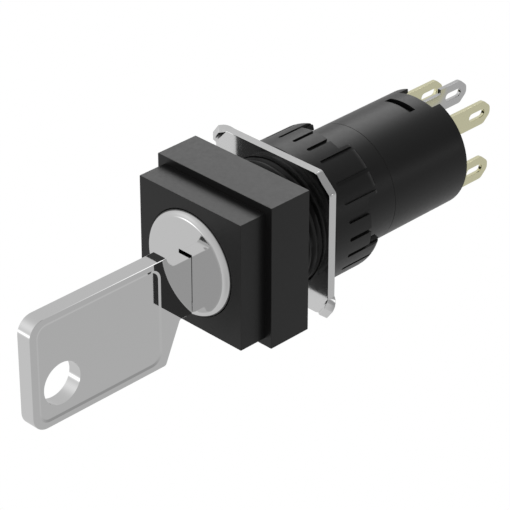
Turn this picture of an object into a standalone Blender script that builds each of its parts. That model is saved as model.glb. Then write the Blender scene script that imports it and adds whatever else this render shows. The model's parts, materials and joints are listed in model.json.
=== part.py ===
"""Selector key switch for a 16 mm panel hole: square bezel, key lock, two contacts, six solder terminals.

Metres. X is right seen from the key's side, +Y runs along the switch's axis from the key to the terminals,
+Z is up. The origin is on the axis, in the plane of the panel's front face. All constants are in millimetres.
Points of a turned profile are (radius, y). Angles about the axis run from +X towards +Z, in degrees.
"""

import math

import bmesh
import bpy
from mathutils import Vector

MM = 0.001
ROUND = 48
SMALL_ROUND = 24
PIN_ROUND = 20
# how far a cutter runs past the wall it cuts, or a joined piece into the one it joins
BEYOND = 1.0
SMOOTH_ANGLE = math.radians(32)

# bezel_housing and head_cap
BEZEL_HALF = 9.0
BEZEL_FRONT = -5.9
NECK_R = 7.85
NECK_END = 11.4
BODY_R = 7.33
FRONT_BODY_END = 16.1
LOCK_BORE_R = 6.1
LOCK_BORE_END = 6.5
SWITCH_BORE_R = 6.6
CARRIER_SEAT_R = 7.0
CARRIER_SEAT = (15.6, 16.8)
HEAD_HALF = 8.0
HEAD = (-9.66, -6.2)
HEAD_FRONT_BORE_R = 6.6
HEAD_BORE_STEP = -8.9
HEAD_BORE_R = 6.85
PEG_OFFSET = 6.6
PEG_R = 0.7
PEG_HOLE_R = 0.8
PEG_END = -4.1
PEG_HOLE_END = -3.9

# gaskets
GASKET_GROOVE_R = 8.55
GASKET_GROOVE_FLOOR = -0.8
GASKET = (7.95, 8.45, -0.7, -0.05)
SEAL_SEAT_R = 6.65
SEAL_SEAT_FLOOR = -5.3
LOCK_SEAL = (6.0, 6.6, -6.15, -5.35)

# lock
SHELL_FLANGE_R = 6.75
SHELL_FLANGE = (-8.6, -6.2)
SHELL_R = 5.95
SHELL_BORE_R = 4.98
SHELL_END = 8.6
WAFER_GROOVE_R = 5.55
WAFER_GROOVE_HALF = 2.0
WAFER_GROOVE = (-6.3, 4.0)
DISC_R = 6.45
DISC_FRONT = -10.36
DISC_REAR = -9.0
DISC_RIM = 0.8
BARREL_R = 4.9
BARREL_END = 9.9
CLIP_GROOVE_R = 4.3
CLIP_GROOVE = (8.9, 9.5)
CLIP = (4.4, 5.8, 9.0, 9.4)
CLIP_GAP_HALF = 2.2
TANG_HALF = 1.5
TANG_END = 12.2
KEYWAY_HALF = 1.1
KEYWAY_Z = (-4.5, 1.75)
KEYWAY_END = 6.2
RETAINING_NUT = (6.0, 6.45, 6.8, 8.6)
RETAINING_NUT_NOTCH_HALF = 0.6
RETAINING_NUT_NOTCH = 0.7

# wafers
WAFER_STATIONS = (-5.2, -3.3, -1.4, 0.5, 2.4)
WAFER_HALF_THICKNESS = 0.4
WAFER_SLOT_HALF = 0.475
WAFER_HALF_WIDTH = 1.7
WAFER_SLOT_HALF_WIDTH = 1.85
WAFER_R = 4.8
WAFER_WINDOW_HALF = 1.25
WAFER_WINDOW_Z = (-4.45, 2.0)
WAFER_ARC_STEPS = 6

# key
KEY_HALF = 1.0
KEY_TIP = 5.5
BLADE_TOP = 1.45
BLADE_BOTTOM = -4.3
KEY_TIP_BEVEL = 1.2
BITTING_DEPTHS = (0.3, 0.5, 0.2, 0.4, 0.3)
BITTING_FLOOR_HALF = 0.45
BITTING_SLOPE = 0.35
BOW_RAMP = ((-12.76, 1.45), (-13.3, 1.6), (-13.8, 2.1), (-14.16, 2.9))
BOW_TOP = 2.95
BOW_END = -33.97
BOW_BOTTOM = -10.9
BOW_CORNER_R = 2.0
BOW_FRONT_CORNER = (-14.5, -10.9)
BOW_SHOULDER = (-12.25, -5.85)
BOW_STOP = -10.42
KEY_HOLE = (-29.63, -6.2)
KEY_HOLE_R = 2.6
PANEL_Y = (-32.7, -15.4)
PANEL_Z = (-9.9, 1.9)
PANEL_DEPTH = 0.1
PANEL_CORNER_R = 1.2

# drive_cam and indexing
CAM_R = 6.2
CAM = (10.3, 13.4)
CAM_SQUARE_HALF = 1.65
RAMP_TOP = 14.6
RAMP_RADII = (2.9, 4.4)
RAMP_SWEEP = 90.0
RAMP_DWELL = 25.0
RAMP_START = 4.0
RAMP_STEP = 5.0
TRACK_R = 5.25
TRACK_HALF = 0.7
TRACK_FLOOR = 12.7
TRACK_ARC = (90.0, 180.0)
POCKET_FLOOR = 12.4
POCKET_R = 0.77
INDEX_R = 0.55
INDEX_TIP = 12.8
INDEX_END = 15.9
INDEX_POCKET_R = 0.65
INDEX_POCKET_END = 17.9
INDEX_SPRING = (16.0, 17.8)
INDEX_SPRING_R = 0.5
INDEX_WIRE = 0.07

# contact_carrier, plungers, bridges and return springs
CARRIER_R = 6.5
CARRIER = (15.3, 18.3)
CARRIER_FLANGE_R = 6.9
CARRIER_FLANGE = (15.7, 16.7)
PLUNGER_X = 3.7
PLUNGER_R = 0.85
PLUNGER_HOLE_R = 0.95
PLUNGER_TIP = 13.5
PLUNGER_COLLAR = (18.5, 19.1)
PLUNGER_COLLAR_R = 1.3
PLUNGER_SHOULDER = 21.4
POST_R = 0.5
POST_END = 23.0
BRIDGE = (21.5, 21.9)
BRIDGE_HALF_WIDTH = 1.0
BRIDGE_HALF_LENGTH = 4.3
BRIDGE_HOLE_R = 0.6
RIVET_R = 0.55
RIVET_HEIGHT = 0.15
RETURN_SPRING = (22.05, 25.35)
RETURN_SPRING_R = 0.85
RETURN_WIRE = 0.1
SPRING_TURNS = 6
COIL_STEPS = 16
WIRE_SIDES = 6

# switch_housing and terminal_base
REAR_BODY = (16.15, 28.7)
BASE_SEAT = 25.3
RIM_BORE_R = 6.75
LATCH_WINDOW_HALF = 2.0
LATCH_WINDOW = (24.1, 25.1)
RIM_NOTCH_HALF = 2.5
RIM_NOTCH_FLOOR = 27.1
BASE_R = 6.65
BASE = (25.5, 28.0)
TONGUE_HALF = 1.6
TONGUE_FRONT = 24.3
TONGUE_Z = (5.9, 6.3)
HOOK_REAR = 24.9
HOOK_TOP = 6.95
BASE_SLOT_GAP = 0.1

# terminals
TERMINAL_HALF = 0.25
ROOT_HALF = 0.21
ROOT_END = REAR_BODY[1] + 0.1
TIP = 36.3
TIP_CORNER = (1.15, 1.0)
CORNER_X = 3.8
CORNER_Z = 3.75
BLADE_HALF = 1.5
CORNER_SHOULDER = 28.15
CORNER_ROOT_HALF = 0.9
OPEN_CONTACT_FRONT = 23.3
HOOK_FRONT = 20.6
HOOK_BACK = 21.25
HOOK_INNER_Z = 3.1
ARM_Z = (4.5, 5.05)
ARM_FRONT = 24.2
ARM_REAR = 25.2
CENTRE_Z = 5.15
CENTRE_SHOULDER = 31.6
CENTRE_ROOT_Z = (4.43, 6.03)
CENTRE_INNER_TOP = 5.6
CENTRE_STEP = 26.5
CENTRE_FRONT = 24.4
SOLDER_SLOT = (32.55, 35.3)
SOLDER_SLOT_HALF = 0.5

# clamp_plate and fixing_nut
PLATE = (3.2, 4.3)
PLATE_HOLE_R = 7.95
PLATE_CHAMFER = ((9.0, 6.65), (8.74, 7.19), (7.06, 8.76), (6.5, 9.0))
CLAW_FOLD = ((9.0, -6.4), (7.1, -9.0))
CLAW_ANGLE = math.radians(50)
CLAW_LENGTH = 1.35
CLAW_TAPER = 1.0
CLAW_ROOT = 0.35
NUT_R = 8.95
NUT_BORE_R = 7.95
NUT = (4.5, 12.3)
NUT_ROUND_START = 11.4
NUT_ROUND_DROP = 0.45
NUT_ROUND_STEPS = 4
NUT_NOTCH_FLOOR = 10.3
NUT_NOTCHES = ((14.0, 53.6), (-68.2, -28.5))
NUT_SLOT_FLOOR_R = 8.6
NUT_SLOT_HALF = 0.22
NUT_SLOT_START = 6.8
NUT_LAND_CENTRES = (52.0, 232.0)
NUT_LAND_HALF = 10.0
NUT_SLOTS_PER_SIDE = 12

# colours
BLACK = (0.02, 0.02, 0.02)
STEEL = (0.62, 0.62, 0.63)
BRASS = (0.62, 0.58, 0.36)
TIN = (0.6, 0.6, 0.6)
RUBBER = (0.03, 0.03, 0.03)
GREY = (0.2, 0.2, 0.21)
WHITE = (0.7, 0.7, 0.68)


# meshes and helpers
def clear_scene():
    """Removes every object that is there at the start."""
    for obj in list(bpy.data.objects):
        bpy.data.objects.remove(obj, do_unlink=True)


def make_object(name, vertices, faces):
    """One object from points in millimetres, with its faces turned outward."""
    mesh = bpy.data.meshes.new(name)
    mesh.from_pydata([Vector(v) * MM for v in vertices], [], faces)
    working = bmesh.new()
    working.from_mesh(mesh)
    bmesh.ops.recalc_face_normals(working, faces=working.faces)
    working.to_mesh(mesh)
    working.free()
    obj = bpy.data.objects.new(name, mesh)
    bpy.context.scene.collection.objects.link(obj)
    return obj


def turned(name, profile, centre=(0.0, 0.0), segments=ROUND):
    """A closed profile turned about an axis parallel to Y; a flat end gets one face."""
    vertices = []
    rings = []
    for k, (radius, y) in enumerate(profile):
        beside = (profile[k - 1], profile[(k + 1) % len(profile)])
        if radius == 0 and any(r > 0 and level == y for r, level in beside):
            rings.append([])
            continue
        count = segments if radius > 0 else 1
        rings.append([len(vertices) + i for i in range(count)])
        for i in range(count):
            turn = 2 * math.pi * i / segments
            x = centre[0] + radius * math.cos(turn)
            z = centre[1] + radius * math.sin(turn)
            vertices.append((x, y, z))
    faces = []
    for ring_a, ring_b in zip(rings, rings[1:] + rings[:1]):
        if not ring_a or not ring_b:
            faces += [flat for flat in (ring_a, ring_b) if len(flat) > 1]
            continue
        for i in range(segments):
            j = (i + 1) % segments
            corners = [ring_a[i % len(ring_a)], ring_a[j % len(ring_a)]]
            corners += [ring_b[j % len(ring_b)], ring_b[i % len(ring_b)]]
            corners = list(dict.fromkeys(corners))
            if len(corners) > 2:
                faces.append(corners)
    return make_object(name, vertices, faces)


def rod(name, radius, lo, hi, centre=(0.0, 0.0), segments=ROUND):
    """A solid cylinder along Y."""
    return turned(name, [(0, lo), (radius, lo), (radius, hi), (0, hi)], centre, segments)


def ring(name, inner, outer, lo, hi):
    """A plain ring round the axis."""
    return turned(name, [(inner, lo), (outer, lo), (outer, hi), (inner, hi)])


def prism(name, outline, axis, lo, hi):
    """An outline carried along one axis. Outline points are (y, z) for X, (x, z) for Y."""
    place = {"X": lambda a, b, h: (h, a, b), "Y": lambda a, b, h: (a, h, b)}[axis]
    count = len(outline)
    vertices = [place(a, b, h) for h in (lo, hi) for a, b in outline]
    faces = [list(range(count)), list(range(2 * count - 1, count - 1, -1))]
    for i in range(count):
        j = (i + 1) % count
        faces.append([i, j, count + j, count + i])
    return make_object(name, vertices, faces)


def box(name, x_range, y_range, z_range):
    """A block between three pairs of limits."""
    outline = [(x, z) for x, z in zip(
        (x_range[0], x_range[1], x_range[1], x_range[0]),
        (z_range[0], z_range[0], z_range[1], z_range[1]),
    )]
    return prism(name, outline, "Y", y_range[0], y_range[1])


def coil(name, centre, span, radius, wire, turns):
    """A helical spring round an axis parallel to Y, closed at both wire ends."""
    count = turns * COIL_STEPS
    start = span[0] + wire
    rise = (span[1] - span[0] - 2 * wire) / count
    vertices = []
    for i in range(count + 1):
        turn = 2 * math.pi * i / COIL_STEPS
        for k in range(WIRE_SIDES):
            around = 2 * math.pi * k / WIRE_SIDES
            out = radius + wire * math.cos(around)
            x = centre[0] + out * math.cos(turn)
            z = centre[1] + out * math.sin(turn)
            vertices.append((x, start + rise * i + wire * math.sin(around), z))
    faces = [list(range(WIRE_SIDES))]
    faces.append([count * WIRE_SIDES + k for k in range(WIRE_SIDES)])
    for i in range(count):
        for k in range(WIRE_SIDES):
            j = (k + 1) % WIRE_SIDES
            here = i * WIRE_SIDES
            there = here + WIRE_SIDES
            faces.append([here + k, here + j, there + j, there + k])
    return make_object(name, vertices, faces)


def combine(obj, tools, operation):
    """Applies one Boolean step for each tool, then removes the tool."""
    for tool in tools:
        step = obj.modifiers.new("step", "BOOLEAN")
        step.operation = operation
        step.solver = "EXACT"
        step.object = tool
        bpy.context.view_layer.update()
        evaluated = obj.evaluated_get(bpy.context.evaluated_depsgraph_get())
        mesh = bpy.data.meshes.new_from_object(evaluated)
        obj.modifiers.clear()
        obj.data = mesh
        bpy.data.objects.remove(tool, do_unlink=True)
    return obj


def cut(obj, *tools):
    """Takes every tool out of the object."""
    return combine(obj, tools, "DIFFERENCE")


def join(obj, *tools):
    """Adds every tool to the object."""
    return combine(obj, tools, "UNION")


def finish(obj, colour, metallic, roughness):
    """Smooth round faces, sharp edges, and a material of the piece's own."""
    obj.data.name = obj.name
    obj.data.shade_smooth()
    obj.data.set_sharp_from_angle(angle=SMOOTH_ANGLE)
    material = bpy.data.materials.new(obj.name)
    material.use_nodes = True
    shader = material.node_tree.nodes["Principled BSDF"]
    shader.inputs["Base Color"].default_value = (*colour, 1.0)
    shader.inputs["Metallic"].default_value = metallic
    shader.inputs["Roughness"].default_value = roughness
    obj.data.materials.clear()
    obj.data.materials.append(material)
    return obj


def set_origin(obj, point):
    """Moves the object's origin to a point in millimetres without moving its shape."""
    shift = Vector(point) * MM
    for vertex in obj.data.vertices:
        vertex.co -= shift
    obj.location = shift


def arc_points(centre, radius, start, end, steps):
    """Points along an arc, angles in degrees."""
    points = []
    for i in range(steps + 1):
        turn = math.radians(start + (end - start) * i / steps)
        points.append((centre[0] + radius * math.cos(turn), centre[1] + radius * math.sin(turn)))
    return points


def rounded(corners, steps=5):
    """An outline from (a, b, radius) corners, each with a radius replaced by an arc."""
    outline = []
    for i, (a, b, radius) in enumerate(corners):
        point = Vector((a, b))
        if radius == 0:
            outline.append((a, b))
            continue
        before = (Vector(corners[i - 1][:2]) - point).normalized()
        after = (Vector(corners[(i + 1) % len(corners)][:2]) - point).normalized()
        half = before.angle(after) / 2
        centre = point + (before + after).normalized() * (radius / math.sin(half))
        first = point + before * (radius / math.tan(half)) - centre
        last = point + after * (radius / math.tan(half)) - centre
        sweep = first.angle_signed(last)
        for k in range(steps + 1):
            turn = -sweep * k / steps
            cos, sin = math.cos(turn), math.sin(turn)
            outline.append((
                centre.x + first.x * cos - first.y * sin,
                centre.y + first.x * sin + first.y * cos,
            ))
    return outline


# housing
def make_bezel_housing():
    """Square flange, threaded neck and the front half of the round body in one moulding."""
    flange = box(
        "bezel_housing",
        (-BEZEL_HALF, BEZEL_HALF),
        (BEZEL_FRONT, 0.0),
        (-BEZEL_HALF, BEZEL_HALF),
    )
    cut(flange, ring("groove", SWITCH_BORE_R, GASKET_GROOVE_R, GASKET_GROOVE_FLOOR, BEYOND))
    neck = turned("neck", [
        (0, BEZEL_FRONT / 2), (NECK_R, BEZEL_FRONT / 2), (NECK_R, NECK_END),
        (BODY_R, NECK_END), (BODY_R, FRONT_BODY_END), (0, FRONT_BODY_END),
    ])
    join(flange, neck)
    bore = turned("bore", [
        (0, BEZEL_FRONT - BEYOND), (SEAL_SEAT_R, BEZEL_FRONT - BEYOND),
        (SEAL_SEAT_R, SEAL_SEAT_FLOOR), (LOCK_BORE_R, SEAL_SEAT_FLOOR),
        (LOCK_BORE_R, LOCK_BORE_END), (SWITCH_BORE_R, LOCK_BORE_END),
        (SWITCH_BORE_R, CARRIER_SEAT[0]), (CARRIER_SEAT_R, CARRIER_SEAT[0]),
        (CARRIER_SEAT_R, FRONT_BODY_END + BEYOND), (0, FRONT_BODY_END + BEYOND),
    ])
    cut(flange, bore)
    cut(flange, *corner_rods(PEG_HOLE_R, BEZEL_FRONT - BEYOND, PEG_HOLE_END))
    return finish(flange, BLACK, 0.0, 0.4)


def corner_rods(radius, lo, hi):
    """Four rods, one in each corner of the square head."""
    places = [(x, z) for x in (-PEG_OFFSET, PEG_OFFSET) for z in (-PEG_OFFSET, PEG_OFFSET)]
    return [rod("corner", radius, lo, hi, place, 16) for place in places]


def make_head_cap():
    """Square block round the lock's disc, with a peg in each corner for the flange."""
    side = (-HEAD_HALF, HEAD_HALF)
    head = box("head_cap", side, HEAD, side)
    bore = turned("bore", [
        (0, HEAD[0] - BEYOND), (HEAD_FRONT_BORE_R, HEAD[0] - BEYOND),
        (HEAD_FRONT_BORE_R, HEAD_BORE_STEP), (HEAD_BORE_R, HEAD_BORE_STEP),
        (HEAD_BORE_R, HEAD[1] + BEYOND), (0, HEAD[1] + BEYOND),
    ])
    cut(head, bore)
    join(head, *corner_rods(PEG_R, HEAD[1] - BEYOND, PEG_END))
    return finish(head, BLACK, 0.0, 0.4)


def make_seals():
    """The gasket behind the flange and the ring under the lock's flange."""
    finish(ring("panel_gasket", *GASKET), RUBBER, 0.0, 0.7)
    finish(ring("lock_seal", *LOCK_SEAL), RUBBER, 0.0, 0.7)


def make_switch_housing():
    """Rear half of the round body, with latch windows and rim notches at top and bottom."""
    lo, hi = REAR_BODY
    shell = turned("switch_housing", [
        (CARRIER_SEAT_R, lo), (BODY_R, lo), (BODY_R, hi), (RIM_BORE_R, hi), (RIM_BORE_R, BASE_SEAT),
        (SWITCH_BORE_R, BASE_SEAT), (SWITCH_BORE_R, CARRIER_SEAT[1]), (CARRIER_SEAT_R, CARRIER_SEAT[1]),
    ])
    wall = (BASE_R - BEYOND, BODY_R + 0.5)
    for side in (-1, 1):
        z_range = sorted((side * wall[0], side * wall[1]))
        window = box("window", (-LATCH_WINDOW_HALF, LATCH_WINDOW_HALF), LATCH_WINDOW, z_range)
        notch = box("notch", (-RIM_NOTCH_HALF, RIM_NOTCH_HALF), (RIM_NOTCH_FLOOR, hi + BEYOND), z_range)
        cut(shell, window, notch)
    return finish(shell, BLACK, 0.0, 0.4)


# lock
def make_lock_shell():
    """Fixed sleeve round the barrel, grooved for the wafers at both key positions."""
    shell = turned("lock_shell", [
        (SHELL_BORE_R, SHELL_FLANGE[0]), (SHELL_FLANGE_R, SHELL_FLANGE[0]),
        (SHELL_FLANGE_R, SHELL_FLANGE[1]), (SHELL_R, SHELL_FLANGE[1]),
        (SHELL_R, SHELL_END), (SHELL_BORE_R, SHELL_END),
    ])
    across = (-WAFER_GROOVE_R, WAFER_GROOVE_R)
    width = (-WAFER_GROOVE_HALF, WAFER_GROOVE_HALF)
    cut(shell, box("groove", width, WAFER_GROOVE, across))
    cut(shell, box("groove", across, WAFER_GROOVE, width))
    return finish(shell, GREY, 0.6, 0.4)


def make_lock_plug():
    """Disc, barrel with keyway and wafer slots, and the square end that drives the cam."""
    rim = arc_points((DISC_R - DISC_RIM, DISC_FRONT + DISC_RIM), DISC_RIM, -90, 0, 6)
    plug = turned("lock_plug", [(0, DISC_FRONT)] + rim + [
        (DISC_R, DISC_REAR), (BARREL_R, DISC_REAR),
        (BARREL_R, CLIP_GROOVE[0]), (CLIP_GROOVE_R, CLIP_GROOVE[0]),
        (CLIP_GROOVE_R, CLIP_GROOVE[1]), (BARREL_R, CLIP_GROOVE[1]),
        (BARREL_R, BARREL_END), (0, BARREL_END),
    ])
    side = (-TANG_HALF, TANG_HALF)
    join(plug, box("tang", side, (BARREL_END - 0.5, TANG_END), side))
    keyway = (-KEYWAY_HALF, KEYWAY_HALF)
    cut(plug, box("keyway", keyway, (DISC_FRONT - BEYOND, KEYWAY_END), KEYWAY_Z))
    width = (-WAFER_SLOT_HALF_WIDTH, WAFER_SLOT_HALF_WIDTH)
    for y in WAFER_STATIONS:
        span = (y - WAFER_SLOT_HALF, y + WAFER_SLOT_HALF)
        cut(plug, box("slot", width, span, (-BARREL_R - 0.3, BARREL_R + 0.3)))
    return finish(plug, STEEL, 1.0, 0.15)


def make_wafers():
    """Five tumbler plates, each with a window for the key's blade."""
    reach = math.degrees(math.acos(WAFER_HALF_WIDTH / WAFER_R))
    upper = arc_points((0, 0), WAFER_R, reach, 180 - reach, WAFER_ARC_STEPS)
    lower = arc_points((0, 0), WAFER_R, 180 + reach, 360 - reach, WAFER_ARC_STEPS)
    window = (-WAFER_WINDOW_HALF, WAFER_WINDOW_HALF)
    for number, y in enumerate(WAFER_STATIONS, start=1):
        span = (y - WAFER_HALF_THICKNESS, y + WAFER_HALF_THICKNESS)
        wafer = prism(f"wafer_{number}", upper + lower, "Y", *span)
        cut(wafer, box("window", window, (span[0] - BEYOND, span[1] + BEYOND), WAFER_WINDOW_Z))
        finish(wafer, BRASS, 1.0, 0.3)


def make_lock_fasteners():
    """The notched ring that clamps the lock and the open clip in the barrel's groove."""
    nut = ring("lock_retaining_nut", *RETAINING_NUT)
    half = (-RETAINING_NUT_NOTCH_HALF, RETAINING_NUT_NOTCH_HALF)
    across = (-RETAINING_NUT[1] - BEYOND, RETAINING_NUT[1] + BEYOND)
    span = (RETAINING_NUT[3] - RETAINING_NUT_NOTCH, RETAINING_NUT[3] + BEYOND)
    cut(nut, box("notch", half, span, across), box("notch", across, span, half))
    finish(nut, STEEL, 1.0, 0.35)
    clip = ring("plug_retaining_clip", *CLIP)
    gap = (-CLIP_GAP_HALF, CLIP_GAP_HALF)
    cut(clip, box("gap", gap, (CLIP[2] - BEYOND, CLIP[3] + BEYOND), (-CLIP[1] - BEYOND, 0.0)))
    finish(clip, STEEL, 1.0, 0.3)


def key_outline():
    """Side view of the key as (y, z) points, from the blade's tip back round the bow."""
    outline = [(KEY_TIP, BLADE_TOP - KEY_TIP_BEVEL), (KEY_TIP - KEY_TIP_BEVEL, BLADE_TOP)]
    for y, depth in zip(reversed(WAFER_STATIONS), reversed(BITTING_DEPTHS)):
        outline.append((y + BITTING_FLOOR_HALF + BITTING_SLOPE, BLADE_TOP))
        outline.append((y + BITTING_FLOOR_HALF, BLADE_TOP - depth))
        outline.append((y - BITTING_FLOOR_HALF, BLADE_TOP - depth))
        outline.append((y - BITTING_FLOOR_HALF - BITTING_SLOPE, BLADE_TOP))
    corners = [(y, z, 0) for y, z in outline + list(BOW_RAMP)]
    corners += [
        (BOW_END, BOW_TOP, BOW_CORNER_R),
        (BOW_END, BOW_BOTTOM, BOW_CORNER_R),
        (*BOW_FRONT_CORNER, 0.4),
        (*BOW_SHOULDER, 0.3),
        (BOW_STOP, BOW_SHOULDER[1], 0),
        (BOW_STOP, BLADE_BOTTOM, 0),
        (KEY_TIP - KEY_TIP_BEVEL, BLADE_BOTTOM, 0),
        (KEY_TIP, BLADE_BOTTOM + KEY_TIP_BEVEL, 0),
    ]
    return rounded(corners)


def make_key():
    """Flat key with a ring hole, a shallow sunk panel on both faces and a bitted blade."""
    key = prism("key", key_outline(), "X", -KEY_HALF, KEY_HALF)
    panel = rounded([
        (PANEL_Y[0], PANEL_Z[0], PANEL_CORNER_R), (PANEL_Y[1], PANEL_Z[0], PANEL_CORNER_R),
        (PANEL_Y[1], PANEL_Z[1], PANEL_CORNER_R), (PANEL_Y[0], PANEL_Z[1], PANEL_CORNER_R),
    ])
    floor = KEY_HALF - PANEL_DEPTH
    hole = arc_points(KEY_HOLE, KEY_HOLE_R, 0, 350, 35)
    cut(key, prism("panel", panel, "X", floor, KEY_HALF + BEYOND))
    cut(key, prism("panel", panel, "X", -KEY_HALF - BEYOND, -floor))
    cut(key, prism("hole", hole, "X", -KEY_HALF - BEYOND, KEY_HALF + BEYOND))
    set_origin(key, (0, DISC_FRONT, 0))
    return finish(key, STEEL, 1.0, 0.12)


# switching parts
def ramp(start):
    """One raised ramp on the cam's rear face, rising over the sweep and then level."""
    inner, outer = RAMP_RADII
    low, high = CAM[1], RAMP_TOP
    rising = [RAMP_START + RAMP_STEP * i for i in range(int(RAMP_SWEEP / RAMP_STEP))]
    level = [RAMP_SWEEP + RAMP_STEP * i for i in range(int(RAMP_DWELL / RAMP_STEP) + 1)]
    stations = rising + level
    vertices = []
    for angle in stations:
        turn = math.radians(start + angle)
        height = low + (high - low) * min(angle / RAMP_SWEEP, 1.0)
        for radius, y in ((inner, low - BEYOND), (outer, low - BEYOND), (outer, height), (inner, height)):
            vertices.append((radius * math.cos(turn), y, radius * math.sin(turn)))
    last = 4 * (len(stations) - 1)
    faces = [[0, 1, 2, 3], [last, last + 1, last + 2, last + 3]]
    for i in range(len(stations) - 1):
        for k in range(4):
            j = (k + 1) % 4
            faces.append([4 * i + k, 4 * i + j, 4 * i + 4 + j, 4 * i + 4 + k])
    return make_object("ramp", vertices, faces)


def make_drive_cam():
    """Disc on the barrel's square end, with a ramp for each plunger and the index track."""
    cam = rod("drive_cam", CAM_R, *CAM)
    join(cam, ramp(0.0), ramp(180.0))
    side = (-CAM_SQUARE_HALF, CAM_SQUARE_HALF)
    cut(cam, box("square", side, (CAM[0] - BEYOND, RAMP_TOP + BEYOND), side))
    outer = arc_points((0, 0), TRACK_R + TRACK_HALF, *TRACK_ARC, 12)
    inner = arc_points((0, 0), TRACK_R - TRACK_HALF, *reversed(TRACK_ARC), 12)
    cut(cam, prism("track", outer + inner, "Y", TRACK_FLOOR, RAMP_TOP + BEYOND))
    for angle in TRACK_ARC:
        turn = math.radians(angle)
        centre = (TRACK_R * math.cos(turn), TRACK_R * math.sin(turn))
        cut(cam, rod("pocket", POCKET_R, POCKET_FLOOR, RAMP_TOP + BEYOND, centre, PIN_ROUND))
    return finish(cam, WHITE, 0.0, 0.45)


def round_nose(radius, tip, steps=4):
    """The first profile points of a pin with a half-round nose."""
    points = arc_points((0, tip + radius), radius, -90, 0, steps)
    return [(0, tip)] + points[1:]


def make_indexing():
    """The spring-loaded pin that holds the two key positions."""
    centre = (0.0, TRACK_R)
    profile = round_nose(INDEX_R, INDEX_TIP) + [(INDEX_R, INDEX_END), (0, INDEX_END)]
    finish(turned("index_pin", profile, centre, PIN_ROUND), STEEL, 1.0, 0.3)
    spring = coil("index_spring", centre, INDEX_SPRING, INDEX_SPRING_R, INDEX_WIRE, SPRING_TURNS)
    finish(spring, STEEL, 1.0, 0.3)


def make_contact_carrier():
    """Disc that guides both plungers and the index pin, clamped between the body's halves."""
    carrier = turned("contact_carrier", [
        (0, CARRIER[0]), (CARRIER_R, CARRIER[0]), (CARRIER_R, CARRIER_FLANGE[0]),
        (CARRIER_FLANGE_R, CARRIER_FLANGE[0]), (CARRIER_FLANGE_R, CARRIER_FLANGE[1]),
        (CARRIER_R, CARRIER_FLANGE[1]), (CARRIER_R, CARRIER[1]), (0, CARRIER[1]),
    ])
    for x in (-PLUNGER_X, PLUNGER_X):
        through = (CARRIER[0] - BEYOND, CARRIER[1] + BEYOND)
        cut(carrier, rod("guide", PLUNGER_HOLE_R, *through, (x, 0.0), SMALL_ROUND))
    pocket_span = (CARRIER[0] - BEYOND, INDEX_POCKET_END)
    pocket = rod("pocket", INDEX_POCKET_R, *pocket_span, (0.0, TRACK_R), SMALL_ROUND)
    cut(carrier, pocket)
    return finish(carrier, BLACK, 0.0, 0.5)


def make_plunger(name, x):
    """Stem with a round nose for the ramp, a collar, and a post for the bridge."""
    profile = round_nose(PLUNGER_R, PLUNGER_TIP) + [
        (PLUNGER_R, PLUNGER_COLLAR[0]), (PLUNGER_COLLAR_R, PLUNGER_COLLAR[0]),
        (PLUNGER_COLLAR_R, PLUNGER_COLLAR[1]), (PLUNGER_R, PLUNGER_COLLAR[1]),
        (PLUNGER_R, PLUNGER_SHOULDER), (POST_R, PLUNGER_SHOULDER),
        (POST_R, POST_END), (0, POST_END),
    ]
    plunger = turned(name, profile, (x, 0.0), SMALL_ROUND)
    set_origin(plunger, (x, PLUNGER_TIP, 0.0))
    return finish(plunger, WHITE, 0.0, 0.4)


def make_bridge(name, x, rivet_side):
    """Contact strip across a plunger, with a rivet near each end; rivet_side 1 is the rear face."""
    width = (x - BRIDGE_HALF_WIDTH, x + BRIDGE_HALF_WIDTH)
    bridge = box(name, width, BRIDGE, (-BRIDGE_HALF_LENGTH, BRIDGE_HALF_LENGTH))
    cut(bridge, rod("hole", BRIDGE_HOLE_R, BRIDGE[0] - BEYOND, BRIDGE[1] + BEYOND, (x, 0.0), SMALL_ROUND))
    middle = (BRIDGE[0] + BRIDGE[1]) / 2
    if rivet_side > 0:
        span = (middle, BRIDGE[1] + RIVET_HEIGHT)
    else:
        span = (BRIDGE[0] - RIVET_HEIGHT, middle)
    for z in (-CORNER_Z, CORNER_Z):
        join(bridge, rod("rivet", RIVET_R, *span, (x, math.copysign(abs(z) - RIVET_R / 2, z)), PIN_ROUND))
    set_origin(bridge, (x, BRIDGE[0], 0.0))
    return finish(bridge, BRASS, 1.0, 0.3)


def make_switching_side(side, x, rivet_side):
    """Plunger, bridge and return spring of one contact."""
    make_plunger(f"plunger_{side}", x)
    make_bridge(f"bridge_{side}", x, rivet_side)
    centre = (x, 0.0)
    spring = coil(f"return_spring_{side}", centre, RETURN_SPRING, RETURN_SPRING_R, RETURN_WIRE, SPRING_TURNS)
    finish(spring, STEEL, 1.0, 0.3)


# terminals
def blade_tip(centre_z):
    """The four points of a blade's rear end with both corners cut, for a blade above the axis."""
    low, high = centre_z - BLADE_HALF, centre_z + BLADE_HALF
    along, across = TIP_CORNER
    return [(TIP - along, low), (TIP, low + across), (TIP, high - across), (TIP - along, high)]


def open_contact_outline():
    """Corner terminal whose front end is met by the bridge at the end of its travel."""
    low, high = CORNER_Z - CORNER_ROOT_HALF, CORNER_Z + CORNER_ROOT_HALF
    return [
        (OPEN_CONTACT_FRONT, low), (CORNER_SHOULDER, low), (CORNER_SHOULDER, CORNER_Z - BLADE_HALF),
        *blade_tip(CORNER_Z),
        (CORNER_SHOULDER, CORNER_Z + BLADE_HALF), (CORNER_SHOULDER, high), (OPEN_CONTACT_FRONT, high),
    ]


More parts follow.
